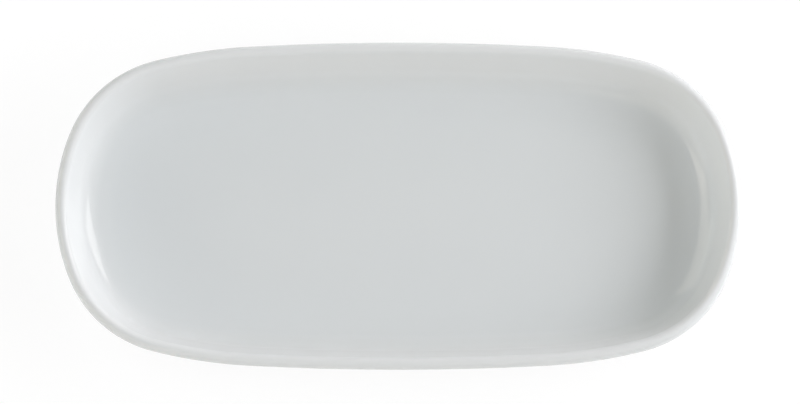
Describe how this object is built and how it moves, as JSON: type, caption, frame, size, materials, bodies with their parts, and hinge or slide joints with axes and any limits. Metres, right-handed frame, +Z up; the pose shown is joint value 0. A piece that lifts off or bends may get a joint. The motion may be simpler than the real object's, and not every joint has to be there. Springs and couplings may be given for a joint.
{
  "type": "asparagus plate",
  "caption": "Shallow oblong white porcelain dish with bowed sides, round corners, a sloping wall, a full-round lip and a foot ring, for serving asparagus.",
  "frame": {"origin": "middle of the plate, on the plane that it stands on", "axes": "+Z up out of the dish, +X along the length"},
  "size_m": [0.33, 0.162, 0.0275],
  "materials": {
    "biscuit_porcelain": "matt fired porcelain, bare on the foot ring's standing face",
    "clear_glaze": "smooth glossy glaze over white porcelain, slightly cool"
  },
  "bodies": {
    "root": {"porcelain_body": "biscuit_porcelain", "glaze_coat": "clear_glaze", "underside_glaze": "clear_glaze"}
  },
  "joints": []
}
